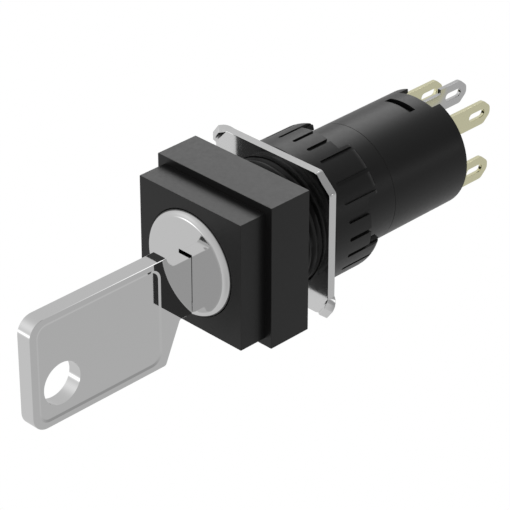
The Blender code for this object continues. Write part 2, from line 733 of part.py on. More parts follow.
def closed_contact_outline():
    """Corner terminal that hooks round the bridge's end and stands in front of it."""
    low, high = CORNER_Z - CORNER_ROOT_HALF, CORNER_Z + CORNER_ROOT_HALF
    return [
        (HOOK_FRONT, HOOK_INNER_Z), (HOOK_BACK, HOOK_INNER_Z), (HOOK_BACK, ARM_Z[0]),
        (ARM_FRONT, ARM_Z[0]), (ARM_FRONT, low), (CORNER_SHOULDER, low),
        (CORNER_SHOULDER, CORNER_Z - BLADE_HALF),
        *blade_tip(CORNER_Z),
        (CORNER_SHOULDER, CORNER_Z + BLADE_HALF), (CORNER_SHOULDER, high),
        (ARM_REAR, high), (ARM_REAR, ARM_Z[1]), (HOOK_FRONT, ARM_Z[1]),
    ]


def centre_outline():
    """Centre terminal, stepped narrower inside the base."""
    low, high = CENTRE_ROOT_Z
    return [
        (CENTRE_FRONT, low), (CENTRE_SHOULDER, low), (CENTRE_SHOULDER, CENTRE_Z - BLADE_HALF),
        *blade_tip(CENTRE_Z),
        (CENTRE_SHOULDER, CENTRE_Z + BLADE_HALF), (CENTRE_SHOULDER, high),
        (CENTRE_STEP, high), (CENTRE_STEP, CENTRE_INNER_TOP), (CENTRE_FRONT, CENTRE_INNER_TOP),
    ]


def coin_root(terminal, x):
    """Thin the stamping on both sides to just past the housing's rim, so the blade has a flat of its own."""
    along = (HOOK_FRONT - BEYOND, ROOT_END)
    across = (-BODY_R, BODY_R)
    for side in (-1, 1):
        thinned = sorted((x + side * ROOT_HALF, x + side * (TERMINAL_HALF + BEYOND)))
        cut(terminal, box("step", thinned, along, across))


def make_terminal(name, outline, x, centre_z, side, colour):
    """A flat stamping with a solder slot; side 1 is above the axis, -1 below."""
    half_round = SOLDER_SLOT_HALF
    slot = arc_points((SOLDER_SLOT[1] - half_round, centre_z), half_round, -90, 90, 8)
    slot += arc_points((SOLDER_SLOT[0] + half_round, centre_z), half_round, 90, 270, 8)
    turned_over = [[(y, side * z) for y, z in points] for points in (outline, slot)]
    terminal = prism(name, turned_over[0], "X", x - TERMINAL_HALF, x + TERMINAL_HALF)
    cut(terminal, prism("slot", turned_over[1], "X", x - BEYOND, x + BEYOND))
    coin_root(terminal, x)
    return finish(terminal, colour, 1.0, 0.2)


def make_terminals():
    """Two corner terminals for each contact and one centre pair."""
    for place, side in (("top", 1), ("bottom", -1)):
        right = open_contact_outline()
        left = closed_contact_outline()
        make_terminal(f"terminal_right_{place}", right, CORNER_X, CORNER_Z, side, BRASS)
        make_terminal(f"terminal_left_{place}", left, -CORNER_X, CORNER_Z, side, BRASS)
        make_terminal(f"terminal_centre_{place}", centre_outline(), 0.0, CENTRE_Z, side, TIN)


def make_terminal_base():
    """Moulding that closes the rear, with a slot for every terminal and a latch at top and bottom."""
    base = rod("terminal_base", BASE_R, *BASE)
    through = (BASE[0] - BEYOND, BASE[1] + BEYOND)
    thick = ROOT_HALF + BASE_SLOT_GAP
    for side in (-1, 1):
        hook_z = sorted((side * (TONGUE_Z[0] + 0.2), side * HOOK_TOP))
        tongue_z = sorted((side * TONGUE_Z[0], side * TONGUE_Z[1]))
        tongue = box("tongue", (-TONGUE_HALF, TONGUE_HALF), (TONGUE_FRONT, BASE[0] + 0.5), tongue_z)
        hook = box("hook", (-TONGUE_HALF, TONGUE_HALF), (TONGUE_FRONT + 0.05, HOOK_REAR), hook_z)
        join(tongue, hook)
        join(base, tongue)
    for side in (-1, 1):
        low = CORNER_Z - CORNER_ROOT_HALF - BASE_SLOT_GAP
        high = CORNER_Z + CORNER_ROOT_HALF + BASE_SLOT_GAP
        for x in (-CORNER_X, CORNER_X):
            cut(base, box("slot", (x - thick, x + thick), through, sorted((side * low, side * high))))
        low = CENTRE_ROOT_Z[0] - BASE_SLOT_GAP
        high = CENTRE_INNER_TOP + BASE_SLOT_GAP
        cut(base, box("slot", (-thick, thick), through, sorted((side * low, side * high))))
        high = CENTRE_ROOT_Z[1] + BASE_SLOT_GAP
        rear = (CENTRE_STEP - BASE_SLOT_GAP, BASE[1] + BEYOND)
        cut(base, box("slot", (-thick, thick), rear, sorted((side * low, side * high))))
    return finish(base, BLACK, 0.0, 0.5)


# panel fixing
def plate_outline():
    """Square with two corners cut off, and cut back to the fold of the claws at the other two."""
    quarter = [CLAW_FOLD[1], CLAW_FOLD[0]] + list(PLATE_CHAMFER)
    return quarter + [(-x, -z) for x, z in quarter]


def claw(side):
    """One corner bent forward; side 1 is below right, -1 above left."""
    start = Vector((CLAW_FOLD[0][0], 0.0, CLAW_FOLD[0][1]))
    end = Vector((CLAW_FOLD[1][0], 0.0, CLAW_FOLD[1][1]))
    along = (end - start).normalized()
    outward = Vector((-along.z, 0.0, along.x))
    if outward.dot(start + end) < 0:
        outward = -outward
    rear = Vector((0.0, 1.0, 0.0))
    reach = outward * math.cos(CLAW_ANGLE) - rear * math.sin(CLAW_ANGLE)
    through = outward * math.sin(CLAW_ANGLE) + rear * math.cos(CLAW_ANGLE)
    thickness = PLATE[1] - PLATE[0]
    front = rear * PLATE[0]
    root = [start + front - outward * CLAW_ROOT, end + front - outward * CLAW_ROOT]
    root += [point + rear * thickness for point in root]
    fold = [start + front, end + front]
    fold += [point + through * thickness for point in fold]
    fold += [point + rear * thickness for point in (start + front, end + front)]
    tip = [start + front + along * CLAW_TAPER, end + front - along * CLAW_TAPER]
    tip = [point + reach * CLAW_LENGTH for point in tip]
    tip += [point + through * thickness for point in tip]
    points = root + fold + tip
    return hull("claw", [(side * p.x, p.y, side * p.z) for p in points])


def hull(name, points):
    """The convex hull of a few points."""
    obj = make_object(name, points, [])
    working = bmesh.new()
    working.from_mesh(obj.data)
    result = bmesh.ops.convex_hull(working, input=working.verts)
    loose = [v for v in result["geom_interior"] if isinstance(v, bmesh.types.BMVert)]
    bmesh.ops.delete(working, geom=loose, context="VERTS")
    bmesh.ops.recalc_face_normals(working, faces=working.faces)
    working.to_mesh(obj.data)
    working.free()
    return obj


def make_clamp_plate():
    """Sheet plate behind the panel, with two cut corners and two claws."""
    plate = prism("clamp_plate", plate_outline(), "Y", *PLATE)
    join(plate, claw(1), claw(-1))
    cut(plate, rod("hole", PLATE_HOLE_R, PLATE[0] - BEYOND, PLATE[1] + BEYOND))
    set_origin(plate, (0, PLATE[0], 0))
    return finish(plate, STEEL, 1.0, 0.15)


def nut_slot_angles():
    """Angles of the slots: evenly spaced between two opposite wide lands."""
    angles = []
    span = 180.0 - 2 * NUT_LAND_HALF
    for centre in NUT_LAND_CENTRES:
        for i in range(NUT_SLOTS_PER_SIDE):
            angles.append(centre + NUT_LAND_HALF + span * i / (NUT_SLOTS_PER_SIDE - 1))
    return angles


def nut_slot(angle):
    """A radial blade that cuts one slot from near the front to the rear end."""
    turn = math.radians(angle)
    out = Vector((math.cos(turn), math.sin(turn)))
    across = Vector((-out.y, out.x)) * NUT_SLOT_HALF
    inner, outer = out * NUT_SLOT_FLOOR_R, out * (NUT_R + 0.5)
    outline = [tuple(p) for p in (inner - across, outer - across, outer + across, inner + across)]
    return prism("slot", outline, "Y", NUT_SLOT_START, NUT[1] + BEYOND)


def nut_notch(start, end):
    """A wedge from the axis that cuts one wide notch into the rear end, between two angles."""
    outline = [(0.0, 0.0)]
    for angle in (start, (start + end) / 2, end):
        turn = math.radians(angle)
        outline.append((2 * NUT_R * math.cos(turn), 2 * NUT_R * math.sin(turn)))
    return prism("notch", outline, "Y", NUT_NOTCH_FLOOR, NUT[1] + BEYOND)


def make_fixing_nut():
    """Ring nut with axial slots, a rounded rear end and four wide notches in that end."""
    round_length = NUT[1] - NUT_ROUND_START
    outer = [(NUT_R, NUT[0])]
    for i in range(NUT_ROUND_STEPS + 1):
        share = i / NUT_ROUND_STEPS
        drop = NUT_ROUND_DROP * (1.0 - math.sqrt(1.0 - share * share))
        outer.append((NUT_R - drop, NUT_ROUND_START + round_length * share))
    nut = turned("fixing_nut", [(NUT_BORE_R, NUT[0])] + outer + [(NUT_BORE_R, NUT[1])], segments=72)
    cut(nut, *[nut_slot(angle) for angle in nut_slot_angles()])
    for centre in NUT_LAND_CENTRES:
        cut(nut, *[nut_notch(centre + start, centre + end) for start, end in NUT_NOTCHES])
    return finish(nut, BLACK, 0.0, 0.4)


def build():
    """Makes every piece of the switch."""
    clear_scene()
    make_bezel_housing()
    make_head_cap()
    make_seals()
    make_switch_housing()
    make_lock_shell()
    make_lock_plug()
    make_wafers()
    make_lock_fasteners()
    make_key()
    make_drive_cam()
    make_indexing()
    make_contact_carrier()
    make_switching_side("right", PLUNGER_X, 1)
    make_switching_side("left", -PLUNGER_X, -1)
    make_terminals()
    make_terminal_base()
    make_clamp_plate()
    make_fixing_nut()


build()
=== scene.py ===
"""The looks of the selector key switch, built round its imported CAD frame.

Metres. +X is right seen from the key's side, +Y runs from the key to the terminals, and +Z is up.
Shape constants are in millimetres. Angles about the axis run from +X towards +Z, in degrees.
"""

import json
import math

import bmesh
import bpy
from mathutils import Matrix, Vector

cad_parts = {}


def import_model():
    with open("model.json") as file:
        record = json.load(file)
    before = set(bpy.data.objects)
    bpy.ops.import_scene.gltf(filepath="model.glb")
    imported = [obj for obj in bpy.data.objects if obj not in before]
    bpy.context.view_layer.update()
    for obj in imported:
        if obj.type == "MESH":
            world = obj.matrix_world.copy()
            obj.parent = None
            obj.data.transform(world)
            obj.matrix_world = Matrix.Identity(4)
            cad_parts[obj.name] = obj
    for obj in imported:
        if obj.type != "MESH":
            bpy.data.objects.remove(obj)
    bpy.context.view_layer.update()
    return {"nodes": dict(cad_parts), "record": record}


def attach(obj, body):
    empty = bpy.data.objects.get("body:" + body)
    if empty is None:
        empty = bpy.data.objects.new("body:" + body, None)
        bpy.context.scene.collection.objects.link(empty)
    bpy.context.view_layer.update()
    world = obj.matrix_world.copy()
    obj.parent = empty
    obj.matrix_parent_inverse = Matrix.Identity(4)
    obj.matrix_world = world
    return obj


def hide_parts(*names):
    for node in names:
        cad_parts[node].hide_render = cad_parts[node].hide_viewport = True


MM = 0.001
ROUND = 144
SMOOTH_ANGLE = 30.0
KEY_SMOOTH_ANGLE = 12.0
NORMAL_WEIGHT = 100
EDGE_SEGMENTS = 2
EDGE_ANGLE = math.radians(40)
# how far a cutter runs past what it cuts, and how far where there is less room or a piece is joined on
BEYOND = 1.0
REACH = 0.5

# camera
CAMERA_AZIMUTH = math.radians(45.0)
CAMERA_ELEVATION = math.radians(30.766)
CAMERA_DISTANCE = 301.12
CAMERA_RIGHT = 0.383
CAMERA_UP = -2.612
CAMERA_LENS = 187.73
SENSOR = 36.0
# in metres
CAMERA_CLIP = (0.01, 10.0)

# bezel and head
BEZEL_HALF = 9.0
BEZEL_FRONT = -5.9
NECK_CORE_R = 7.3
NECK_INNER_R = 6.6
NECK_END = 11.4
BODY_R = 7.33
FRONT_BODY_END = 16.1
SEAM_EDGE = 0.03
LOCK_BORE_R = 6.1
LOCK_BORE_END = 6.5
CARRIER_SEAT = (15.6, 16.8)
CARRIER_SEAT_R = 7.0
HEAD_HALF = 8.0
HEAD_FRONT = -9.66
HEAD_FRONT_BORE_R = 6.5
HEAD_BORE_STEP = -8.9
HEAD_BORE_R = 6.85
HEAD_BORE_EDGE = 0.06
HEAD_SINK = 0.1
BLOCK_EDGE = 0.07
THREAD_R = 7.85
THREAD_ROOT_R = 7.35
THREAD_PITCH = 1.0
THREAD_SPAN = (0.25, 11.3)
THREAD_ROWS = 10
THREAD_FADE = 0.6
THREAD_CREST = 1.35
THREAD_FLANK = 2.7
THREAD_SINK = 0.1

# lock
DISC_R = 6.45
DISC_FRONT = -10.36
DISC_REAR = -9.0
DISC_RIM = 0.85
DISC_RIM_STEPS = 12
BARREL_R = 4.9
CLIP_GROOVE_R = 4.3
CLIP_GROOVE = (8.9, 9.5)
BARREL_END = 9.9
TANG_HALF = 1.5
TANG_END = 12.2
KEYWAY_HALF = 1.06
KEYWAY_Z = (-4.45, 1.72)
KEYWAY_END = 6.2
WAFER_STATIONS = (-5.2, -3.3, -1.4, 0.5, 2.4)
WAFER_SLOT_HALF = 0.475
WAFER_SLOT_HALF_WIDTH = 1.85
WAFER_SLOT_BEYOND = 0.3

# key
KEY_HALF = 1.0
KEY_TIP = 5.5
BLADE_TOP = 1.45
BLADE_BOTTOM = -4.3
KEY_TIP_BEVEL = 1.2
BITTING_DEPTHS = (0.3, 0.5, 0.2, 0.4, 0.3)
BITTING_FLOOR_HALF = 0.45
BITTING_SLOPE = 0.35
BOW_RAMP = ((-12.76, 1.45), (-13.1, 1.5), (-13.4, 1.68), (-13.7, 1.98), (-13.95, 2.38), (-14.16, 2.9))
BOW_TOP = 2.95
BOW_END = -33.97
BOW_BOTTOM = -10.9
BOW_CORNER_R = 2.0
BOW_FRONT_CORNER = (-14.5, -10.9)
BOW_FRONT_CORNER_R = 0.4
BOW_SHOULDER = (-12.25, -5.85)
BOW_SHOULDER_R = 0.3
BOW_STOP = -10.4
KEY_HOLE = (-29.63, -6.2)
KEY_HOLE_R = 2.6
KEY_HOLE_STEPS = 72
KEY_CORNER_STEPS = 12
PANEL_Y = (-32.75, -15.35)
PANEL_Z = (-9.9, 1.9)
PANEL_DEPTH = 0.1
PANEL_SLOPE = 0.3
PANEL_CORNER_R = 1.2
KEY_EDGE = 0.05

# clamp plate and nut
PLATE = (3.2, 4.3)
PLATE_HOLE_R = 7.95
PLATE_CHAMFER = ((9.0, 6.95), (6.8, 9.0))
PLATE_CHAMFER_R = 0.5
CLAW_FOLD = ((9.0, -6.4), (7.1, -9.0))
CLAW_ANGLE = math.radians(52)
CLAW_BEND_R = 0.35
CLAW_LENGTH = 1.3
CLAW_TAPER = 0.85
CLAW_BEND_STEPS = 8
CLAW_FLAT_SHARES = (0.5, 1.0)
PLATE_EDGE = 0.07
NUT_R = 8.95
NUT_BORE_R = 7.95
NUT = (4.45, 12.3)
NUT_EDGE = 0.08
NUT_ROUND_START = 11.4
NUT_ROUND_DROP = 0.45
NUT_ROUND_STEPS = 10
NUT_SLOT_FLOOR_R = 8.6
NUT_SLOT_HALF = 0.24
NUT_SLOT_START = 6.8
NUT_SLOT_END_STEPS = 8
NUT_LAND_CENTRES = (52.0, 232.0)
NUT_LAND_HALF = 10.0
NUT_SLOTS_PER_SIDE = 12
NUT_NOTCH_FLOOR = 10.3
NUT_NOTCH_STEPS = 4
# start and end of each notch, from the centre of the wide land beside it
NUT_NOTCHES = ((14.0, 53.6), (-68.2, -28.5))

# rear body, base and terminals
REAR_BODY = (16.13, 28.7)
BASE_SEAT = 25.3
RIM_BORE_R = 6.75
RIM_EDGE = 0.1
LATCH_WINDOW_HALF = 2.0
LATCH_WINDOW = (24.1, 25.1)
RIM_NOTCH = (-2.4, 2.7)
RIM_NOTCH_FLOOR = 27.1
BASE_R = 6.65
BASE = (25.5, 28.0)
TONGUE_HALF = 1.6
TONGUE_FRONT = 24.3
TONGUE_Z = (5.9, 6.3)
HOOK_REAR = 24.9
HOOK_TOP = 6.75
HOOK_SINK = 0.2
HOOK_SET_BACK = 0.05
BASE_SLOT_GAP = 0.05
TERMINAL_HALF = 0.25
TIP = 36.3
TIP_CORNER = (1.15, 1.0)
TIP_ROUND = 0.8
CORNER_X = 3.8
CORNER_Z = 3.75
BLADE_HALF = 1.5
CORNER_SHOULDER = 28.05
CORNER_ROOT_HALF = 0.9
OPEN_CONTACT_FRONT = 23.3
HOOK_FRONT = 20.6
HOOK_BACK = 21.25
HOOK_INNER_Z = 3.1
ARM_Z = (4.5, 5.05)
ARM_FRONT = 24.2
ARM_REAR = 25.2
CENTRE_Z = 5.15
CENTRE_SHOULDER = 31.6
CENTRE_ROOT_Z = (4.43, 6.03)
CENTRE_INNER_TOP = 5.6
CENTRE_STEP = 26.5
CENTRE_FRONT = 24.4
SOLDER_SLOT = (32.55, 35.3)
SOLDER_SLOT_HALF = 0.5
SOLDER_SLOT_STEPS = 12
TERMINAL_EDGE = 0.04

# colours, linear
BLACK = (0.006, 0.006, 0.006)
KEY_METAL = (0.745, 0.745, 0.745)
DISC_METAL = (0.72, 0.72, 0.72)
PLATE_METAL = (0.78, 0.78, 0.78)
BRASS = (0.91, 0.88, 0.6)
TIN = (0.7, 0.7, 0.7)
ZINC = (0.4, 0.4, 0.41)
STEEL = (0.5, 0.5, 0.5)
WAFER_BRASS = (0.6, 0.48, 0.25)
PALE = (0.62, 0.62, 0.6)
RUBBER = (0.015, 0.015, 0.015)

# surface grain
NOISE_RANGE = (0.3, 0.7)
PLASTIC_ROUGHNESS = 0.36
PLASTIC_IOR = 1.385
# scale and detail of the noise, and strength and depth in metres of the relief
PLASTIC_GRAIN = (2500.0, 3.0)
PLASTIC_RELIEF = (0.08, 0.00002)
METAL_GRAIN = (900.0, 2.0)
# roughness: up and down by this on plastic, and between these shares of it on metal
PLASTIC_VARIATION = 0.03
METAL_VARIATION = (0.85, 1.15)

# light
WORLD_WHITE = 1.0
WORLD_DIFFUSE = 1.0
# what polished surfaces mirror: a level, and its slope along X, Y and Z
WORLD_GLOSSY = (0.771, -0.0861, -0.0574, -0.0197)
LAMP_DIRECTION = (-0.54, 0.61, 0.58)
LAMP_SPREAD = math.radians(36.0)
LAMP_STRENGTH = 0.58
# patches in that: direction, sharpness and strength
GLINTS = (
    ((-0.594, -0.792, -0.137), 150.0, 2.0),
    ((-0.136, 0.607, 0.783), 300.0, 3.0),
    ((0.783, 0.607, 0.137), 300.0, 3.0),
    ((-0.6, -0.6, 0.51), 12.0, 0.31),
    ((0.7, 0.6, 0.4), 4.0, -0.36),
    ((0.607, -0.607, -0.512), 12.0, -0.1),
)
FLOOR_Z = -420.0
FLOOR_HALF = 4000.0


# meshes
def make_object(name, vertices, faces):
    """One object from points in millimetres, with its faces turned outward."""
    mesh = bpy.data.meshes.new(name)
    mesh.from_pydata([Vector(v) * MM for v in vertices], [], faces)
    working = bmesh.new()
    working.from_mesh(mesh)
    bmesh.ops.recalc_face_normals(working, faces=working.faces)
    working.to_mesh(mesh)
    working.free()
    obj = bpy.data.objects.new(name, mesh)
    bpy.context.scene.collection.objects.link(obj)
    return obj


def turned(name, profile):
    """A closed profile of (radius, y) points turned about the Y axis."""
    vertices = []
    rings = []
    for k, (radius, y) in enumerate(profile):
        beside = (profile[k - 1], profile[(k + 1) % len(profile)])
        if radius == 0 and any(r > 0 and level == y for r, level in beside):
            rings.append([])
            continue
        count = ROUND if radius > 0 else 1
        rings.append([len(vertices) + i for i in range(count)])
        for i in range(count):
            turn = 2 * math.pi * i / ROUND
            vertices.append((radius * math.cos(turn), y, radius * math.sin(turn)))
    faces = []
    for ring_a, ring_b in zip(rings, rings[1:] + rings[:1]):
        if not ring_a or not ring_b:
            faces += [flat for flat in (ring_a, ring_b) if len(flat) > 1]
            continue
        for i in range(ROUND):
            j = (i + 1) % ROUND
            corners = [ring_a[i % len(ring_a)], ring_a[j % len(ring_a)]]
            corners += [ring_b[j % len(ring_b)], ring_b[i % len(ring_b)]]
            corners = list(dict.fromkeys(corners))
            if len(corners) > 2:
                faces.append(corners)
    return make_object(name, vertices, faces)


def rod(name, radius, lo, hi):
    """A solid cylinder along Y."""
    return turned(name, [(0, lo), (radius, lo), (radius, hi), (0, hi)])


def layered_faces(count, layers=2):
    """Faces of a solid made of equal outlines in layers: both end caps, then the walls."""
    last = (layers - 1) * count
    faces = [list(range(count)), list(range(last + count - 1, last - 1, -1))]
    for low in range(0, last, count):
        for i in range(count):
            j = (i + 1) % count
            faces.append([low + i, low + j, low + count + j, low + count + i])
    return faces


def prism(name, outline, axis, lo, hi):
    """An outline carried along one axis. Outline points are (y, z) for X, (x, z) for Y."""
    place = {"X": lambda a, b, h: (h, a, b), "Y": lambda a, b, h: (a, h, b)}[axis]
    vertices = [place(a, b, h) for h in (lo, hi) for a, b in outline]
    return make_object(name, vertices, layered_faces(len(outline)))


def box(name, x_range, y_range, z_range):
    """A block between three pairs of limits."""
    xs = (x_range[0], x_range[1], x_range[1], x_range[0])
    zs = (z_range[0], z_range[0], z_range[1], z_range[1])
    return prism(name, list(zip(xs, zs)), "Y", y_range[0], y_range[1])


def arc_points(centre, radius, start, end, steps):
    """Points along an arc, angles in degrees."""
    points = []
    for i in range(steps + 1):
        turn = math.radians(start + (end - start) * i / steps)
        points.append((centre[0] + radius * math.cos(turn), centre[1] + radius * math.sin(turn)))
    return points


def rounded(corners, steps=8):
    """An outline from (a, b, radius) corners, each with a radius replaced by an arc."""
    outline = []
    for i, (a, b, radius) in enumerate(corners):
        point = Vector((a, b))
        if radius == 0:
            outline.append((a, b))
            continue
        before = (Vector(corners[i - 1][:2]) - point).normalized()
        after = (Vector(corners[(i + 1) % len(corners)][:2]) - point).normalized()
        half = before.angle(after) / 2
        centre = point + (before + after).normalized() * (radius / math.sin(half))
        first = point + before * (radius / math.tan(half)) - centre
        last = point + after * (radius / math.tan(half)) - centre
        sweep = first.angle_signed(last)
        for k in range(steps + 1):
            turn = -sweep * k / steps
            cos, sin = math.cos(turn), math.sin(turn)
            outline.append((
                centre.x + first.x * cos - first.y * sin,
                centre.y + first.x * sin + first.y * cos,
            ))
    return outline


def settle(obj):
    """Replaces an object's mesh by what its modifiers make of it."""
    bpy.context.view_layer.update()
    evaluated = obj.evaluated_get(bpy.context.evaluated_depsgraph_get())
    mesh = bpy.data.meshes.new_from_object(evaluated)
    obj.modifiers.clear()
    obj.data = mesh
    return obj


def combine(obj, tools, operation):
    """Applies one Boolean step for each tool, then removes the tool."""
    for tool in tools:
        step = obj.modifiers.new("step", "BOOLEAN")
        step.operation = operation
        step.solver = "EXACT"
        step.object = tool
        settle(obj)
        bpy.data.objects.remove(tool, do_unlink=True)
    return obj


def cut(obj, *tools):
    """Takes every tool out of the object."""
    return combine(obj, tools, "DIFFERENCE")


def join(obj, *tools):
    """Adds every tool to the object."""
    return combine(obj, tools, "UNION")


def soften(obj, width):
    """Rounds the object's sharp edges a little."""
    step = obj.modifiers.new("edge", "BEVEL")
    step.width = width * MM
    step.segments = EDGE_SEGMENTS
    step.limit_method = "ANGLE"
    step.angle_limit = EDGE_ANGLE
    step.harden_normals = False
    return settle(obj)


def flatten_normals(obj, angle):
    """Smooth shading up to an angle in degrees, with every normal led by the largest face beside it."""
    obj.data.shade_smooth()
    obj.data.set_sharp_from_angle(angle=math.radians(angle))
    step = obj.modifiers.new("normals", "WEIGHTED_NORMAL")
    step.keep_sharp = True
    step.weight = NORMAL_WEIGHT
    return settle(obj)


def dress(obj, material, slot, body, *nodes, smooth=SMOOTH_ANGLE):
    """Gives a piece its material and body, and hides the CAD nodes that it stands for."""
    flatten_normals(obj, smooth)
    obj.data.name = obj.name
    obj.data.materials.clear()
    obj.data.materials.append(material)
    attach(obj, body)
    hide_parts(*nodes)
    return obj


# materials
def new_material(name):
    """A Principled material with its node tree."""
    material = bpy.data.materials.new(name)
    material.use_nodes = True
    nodes = material.node_tree.nodes
    return material, nodes, material.node_tree.links, nodes["Principled BSDF"]


def noise(nodes, links, scale, detail):
    """Noise in object space."""
    place = nodes.new("ShaderNodeTexCoord")
    texture = nodes.new("ShaderNodeTexNoise")
    texture.inputs["Scale"].default_value = scale
    texture.inputs["Detail"].default_value = detail
    links.new(place.outputs["Object"], texture.inputs["Vector"])
    return texture.outputs["Fac"]


def spread(nodes, links, value, low, high):
    """Maps noise to a range of values."""
    scale = nodes.new("ShaderNodeMapRange")
    scale.inputs["From Min"].default_value = NOISE_RANGE[0]
    scale.inputs["From Max"].default_value = NOISE_RANGE[1]
    scale.inputs["To Min"].default_value = low
    scale.inputs["To Max"].default_value = high
    links.new(value, scale.inputs["Value"])
    return scale.outputs["Result"]


def bump(nodes, links, shader, value, strength, distance):
    """Fine relief on the shader's normal."""
    relief = nodes.new("ShaderNodeBump")
    relief.inputs["Strength"].default_value = strength
    relief.inputs["Distance"].default_value = distance
    links.new(value, relief.inputs["Height"])
    links.new(relief.outputs["Normal"], shader.inputs["Normal"])


def plastic(name, colour, roughness=PLASTIC_ROUGHNESS, ior=PLASTIC_IOR):
    """Moulded plastic with a very fine grain."""
    material, nodes, links, shader = new_material(name)
    shader.inputs["Base Color"].default_value = (*colour, 1.0)
    shader.inputs["IOR"].default_value = ior
    grain = noise(nodes, links, *PLASTIC_GRAIN)
    low, high = roughness - PLASTIC_VARIATION, roughness + PLASTIC_VARIATION
    links.new(spread(nodes, links, grain, low, high), shader.inputs["Roughness"])
    bump(nodes, links, shader, grain, *PLASTIC_RELIEF)
    return material


def metal(name, colour, roughness):
    """Metal whose polish varies slightly."""
    material, nodes, links, shader = new_material(name)
    shader.inputs["Base Color"].default_value = (*colour, 1.0)
    shader.inputs["Metallic"].default_value = 1.0
    grain = noise(nodes, links, *METAL_GRAIN)
    low, high = (roughness * share for share in METAL_VARIATION)
    links.new(spread(nodes, links, grain, low, high), shader.inputs["Roughness"])
    return material


def make_materials():
    """Every material, by its slot in the record."""
    return {
        "black_plastic": plastic("black_plastic", BLACK),
        "rubber": plastic("rubber", RUBBER, 0.7),
        "lock_metal": metal("lock_metal", ZINC, 0.4),
        "lock_chrome": metal("lock_chrome", DISC_METAL, 0.06),
        "key_metal": metal("key_metal", KEY_METAL, 0.03),
        "plain_steel": metal("plain_steel", STEEL, 0.3),
        "plate_metal": metal("plate_metal", PLATE_METAL, 0.12),
        "pale_plastic": plastic("pale_plastic", PALE, 0.45, 1.45),
        "brass": metal("brass", BRASS, 0.16),
        "wafer_brass": metal("wafer_brass", WAFER_BRASS, 0.3),
        "tinned_metal": metal("tinned_metal", TIN, 0.16),
    }


# head, bezel and body
def bezel_look(materials):
    """Square flange with the plain core of the neck and the front half of the body."""
    side = (-BEZEL_HALF, BEZEL_HALF)
    flange = box("bezel", side, (BEZEL_FRONT, 0.0), side)
    soften(flange, BLOCK_EDGE)
    core = turned("core", [
        (0, BEZEL_FRONT / 2), (NECK_CORE_R, BEZEL_FRONT / 2), (NECK_CORE_R, NECK_END),
        (BODY_R, NECK_END), (BODY_R, FRONT_BODY_END - SEAM_EDGE),
        (BODY_R - SEAM_EDGE, FRONT_BODY_END), (0, FRONT_BODY_END),
    ])
    join(flange, core)
    bore = turned("bore", [
        (0, BEZEL_FRONT - BEYOND), (LOCK_BORE_R, BEZEL_FRONT - BEYOND), (LOCK_BORE_R, LOCK_BORE_END),
        (NECK_INNER_R, LOCK_BORE_END), (NECK_INNER_R, CARRIER_SEAT[0]),
        (CARRIER_SEAT_R, CARRIER_SEAT[0]), (CARRIER_SEAT_R, FRONT_BODY_END + BEYOND),
        (0, FRONT_BODY_END + BEYOND),
    ])
    cut(flange, bore)
    return dress(flange, materials["black_plastic"], "black_plastic", "housing", "bezel_housing")


def thread_look(materials):
    """The neck's right-hand thread as a sleeve over its core."""
    lo, hi = THREAD_SPAN
    rows = int((hi - lo) / THREAD_PITCH * THREAD_ROWS)
    depth = THREAD_R - THREAD_ROOT_R
    vertices = []
    for i in range(rows + 1):
        y = lo + (hi - lo) * i / rows
        fade = min(1.0, (y - lo) / THREAD_FADE, (hi - y) / THREAD_FADE)
        for k in range(ROUND):
            phase = (y / THREAD_PITCH + k / ROUND) % 1.0
            crest = min(1.0, max(0.0, THREAD_CREST - THREAD_FLANK * abs(phase - 0.5)))
            radius = THREAD_ROOT_R + depth * crest * fade
            turn = 2 * math.pi * k / ROUND
            vertices.append((radius * math.cos(turn), y, radius * math.sin(turn)))
    inner = NECK_CORE_R - THREAD_SINK
    for y in (lo, hi):
        for k in range(ROUND):
            turn = 2 * math.pi * k / ROUND
            vertices.append((inner * math.cos(turn), y, inner * math.sin(turn)))
    faces = []
    low_ring = (rows + 1) * ROUND
    pairs = [(i * ROUND, (i + 1) * ROUND) for i in range(rows)]
    pairs += [(low_ring, 0), (rows * ROUND, low_ring + ROUND), (low_ring + ROUND, low_ring)]
    for first, second in pairs:
        for k in range(ROUND):
            j = (k + 1) % ROUND
            faces.append([first + k, first + j, second + j, second + k])
    thread = make_object("neck_thread", vertices, faces)
    return dress(thread, materials["black_plastic"], "black_plastic", "housing", "bezel_housing")


def head_look(materials):
    """Square block round the lock's disc, closed against the bezel."""
    side = (-HEAD_HALF, HEAD_HALF)
    head = box("head", side, (HEAD_FRONT, BEZEL_FRONT + HEAD_SINK), side)
    soften(head, BLOCK_EDGE)
    mouth = HEAD_FRONT_BORE_R + HEAD_BORE_EDGE
    bore = turned("bore", [
        (0, HEAD_FRONT - BEYOND), (mouth, HEAD_FRONT - BEYOND),
        (mouth, HEAD_FRONT), (HEAD_FRONT_BORE_R, HEAD_FRONT + HEAD_BORE_EDGE),
        (HEAD_FRONT_BORE_R, HEAD_BORE_STEP), (HEAD_BORE_R, HEAD_BORE_STEP),
        (HEAD_BORE_R, BEZEL_FRONT + BEYOND), (0, BEZEL_FRONT + BEYOND),
    ])
    cut(head, bore)
    return dress(head, materials["black_plastic"], "black_plastic", "housing", "head_cap")


